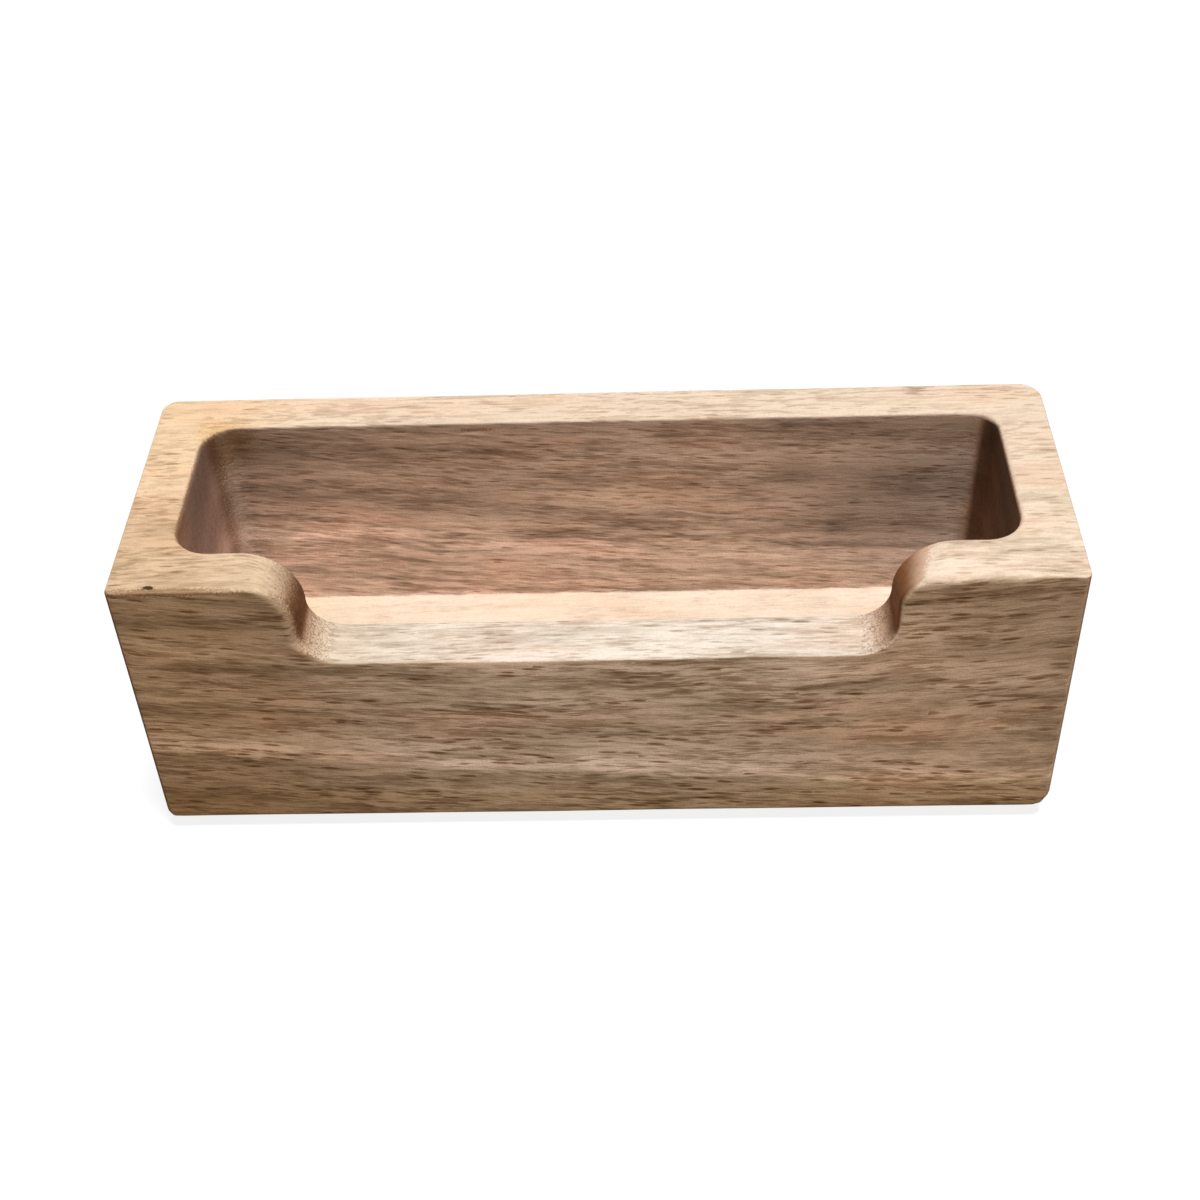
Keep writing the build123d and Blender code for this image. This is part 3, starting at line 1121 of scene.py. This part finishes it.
def run_tree(name, mesh, tree, values):
    """Runs a geometry tree on a mesh and keeps the result as a plain object."""
    piece = bpy.data.objects.new(name, mesh)
    bpy.context.scene.collection.objects.link(piece)
    modifier = piece.modifiers.new(tree.name, "NODES")
    modifier.node_group = tree
    for socket in tree.interface.items_tree:
        if socket.in_out == "INPUT" and socket.name in values:
            modifier[socket.identifier] = values[socket.name]
    graph = bpy.context.evaluated_depsgraph_get()
    result = bpy.data.meshes.new_from_object(piece.evaluated_get(graph), depsgraph=graph)
    piece.modifiers.clear()
    piece.data = merged(result)
    piece.data.materials.clear()
    piece.data.materials.append(values["Material"])
    bpy.data.meshes.remove(mesh)
    return piece


# Operators


class CARD_STAND_OT_block(bpy.types.Operator):
    """Makes the milled and sanded block in place of its solid"""

    bl_idname = "card_stand.block"
    bl_label = "Build block"

    def execute(self, context):
        sizes = context.scene.card_stand_block
        labels = ("Unevenness", "Patch size", "Grain relief", "Relief pitch", "Relief length", "Seed")
        values = {label: getattr(sizes, label.lower().replace(" ", "_")) for label in labels}
        values["Material"] = block_wood(context.scene.card_stand_wood)
        piece = run_tree("card_block", block_mesh(sizes), sanding_tree(), values)
        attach(piece, BODY)
        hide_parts("holder_block")
        return {"FINISHED"}


class CARD_STAND_OT_feet(bpy.types.Operator):
    """Makes the four stick-on feet in place of their solids"""

    bl_idname = "card_stand.feet"
    bl_label = "Build feet"

    def execute(self, context):
        sizes = context.scene.card_stand_feet
        middle = (FOOT_LOW + FOOT_HIGH) / 2
        height = FOOT_HIGH.z - FOOT_LOW.z
        top_radius = (FOOT_HIGH.x - FOOT_LOW.x) / 2
        values = {
            "Top radius": top_radius,
            "Bottom radius": top_radius - height * math.tan(sizes.draft),
            "Height": height,
            "Edge round": sizes.edge_round,
            "Spread X": 2 * abs(middle.x),
            "Spread Y": 2 * abs(middle.y),
            "Segments": sizes.segments,
            "Material": foot_rubber(sizes),
        }
        piece = run_tree("stick_on_feet", bpy.data.meshes.new("feet spots"), feet_tree(), values)
        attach(piece, BODY)
        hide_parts(*FOOT_NODES)
        return {"FINISHED"}


def seen_directly(s):
    """1 for rays from the camera, a reflection or a clear surface, and 0 for light on matt surfaces."""
    path = s.add("ShaderNodeLightPath").outputs
    return s.highest(path["Is Camera Ray"], path["Is Glossy Ray"], path["Is Transmission Ray"])


def floor_material(settings):
    """A white floor with a faint shadow, which throws only a little warm light back on the wood."""
    material, s, shader = new_material("pale_floor")
    material.node_tree.nodes.remove(shader)
    glow = s.add("ShaderNodeEmission", settings.floor_white, 1.0)
    pale = s.add("ShaderNodeBsdfDiffuse", settings.floor_pale)
    bounce = s.add("ShaderNodeBsdfDiffuse", settings.floor_bounce)
    shown = s.add("ShaderNodeAddShader", glow.outputs[0], pale.outputs[0])
    mixed = s.add("ShaderNodeMixShader", seen_directly(s), bounce.outputs[0], shown.outputs[0])
    s.give(material.node_tree.nodes["Material Output"].inputs["Surface"], mixed.outputs[0])
    return material


def studio_world(settings):
    """A white backdrop that lights matt surfaces only faintly."""
    world = bpy.data.worlds.new("studio")
    world.use_nodes = True
    s = Sketch(world.node_tree)
    faint = world.node_tree.nodes["Background"]
    s.give(faint.inputs["Color"], settings.ambient)
    white = s.add("ShaderNodeBackground", (1.0, 1.0, 1.0), 1.0)
    mixed = s.add("ShaderNodeMixShader", seen_directly(s), faint.outputs[0], white.outputs[0])
    s.give(world.node_tree.nodes["World Output"].inputs["Surface"], mixed.outputs[0])
    return world


# The settings of each lamp, in the order of add_lamp
LAMP_PARTS = ("from", "light", "colour", "spread")


def add_lamp(name, towards, light, tone, spread):
    """A soft, distant lamp that puts the given light on a face square to it."""
    lamp = bpy.data.lights.new(name, "SUN")
    lamp.energy = light * math.pi
    lamp.color = tone
    lamp.angle = spread
    holder = bpy.data.objects.new(name, lamp)
    holder.rotation_euler = Vector(towards).to_track_quat("Z", "Y").to_euler()
    bpy.context.scene.collection.objects.link(holder)


class CARD_STAND_OT_stage(bpy.types.Operator):
    """Sets the floor, the lamps and the camera"""

    bl_idname = "card_stand.stage"
    bl_label = "Set stage"

    def execute(self, context):
        scene = context.scene
        settings = scene.card_stand_stage
        half = settings.floor_size / 2
        sheet = bpy.data.meshes.new("floor")
        corners = [(-half, -half, 0.0), (half, -half, 0.0), (half, half, 0.0), (-half, half, 0.0)]
        sheet.from_pydata(corners, [], [(0, 1, 2, 3)])
        sheet.materials.append(floor_material(settings))
        floor = bpy.data.objects.new("floor", sheet)
        scene.collection.objects.link(floor)
        scene.world = studio_world(settings)
        for lamp in ("key", "fill", "back"):
            add_lamp(lamp, *[getattr(settings, f"{lamp}_{part}") for part in LAMP_PARTS])
        camera = bpy.data.objects.new("camera", bpy.data.cameras.new("camera"))
        camera.data.lens = settings.camera_lens
        camera.location = settings.camera_place
        camera.rotation_euler = settings.camera_turn
        scene.collection.objects.link(camera)
        scene.camera = camera
        scene.view_settings.view_transform = "Standard"
        return {"FINISHED"}


class VIEW3D_PT_card_stand(bpy.types.Panel):
    """The stand's sizes, finishes and stage, with the operators that build them"""

    bl_label = "Card stand"
    bl_space_type = "VIEW_3D"
    bl_region_type = "UI"
    bl_category = "Card Stand"

    def draw(self, context):
        scene = context.scene
        for settings, operator in (
            ((scene.card_stand_block, scene.card_stand_wood), CARD_STAND_OT_block),
            ((scene.card_stand_feet,), CARD_STAND_OT_feet),
            ((scene.card_stand_stage,), CARD_STAND_OT_stage),
        ):
            box = self.layout.box()
            for group in settings:
                for name in group.__annotations__:
                    box.prop(group, name)
            box.operator(operator.bl_idname)


SETTINGS = {
    "card_stand_block": BlockSizes,
    "card_stand_wood": WoodLook,
    "card_stand_feet": FootSizes,
    "card_stand_stage": StageSettings,
}
CLASSES = (
    *SETTINGS.values(),
    CARD_STAND_OT_block,
    CARD_STAND_OT_feet,
    CARD_STAND_OT_stage,
    VIEW3D_PT_card_stand,
)


def register():
    for kind in CLASSES:
        bpy.utils.register_class(kind)
    for name, kind in SETTINGS.items():
        setattr(bpy.types.Scene, name, PointerProperty(type=kind))


def unregister():
    for name in SETTINGS:
        delattr(bpy.types.Scene, name)
    for kind in reversed(CLASSES):
        bpy.utils.unregister_class(kind)


def main():
    register()
    bpy.ops.card_stand.block()
    bpy.ops.card_stand.feet()
    bpy.ops.card_stand.stage()


if __name__ == "__main__":
    main()
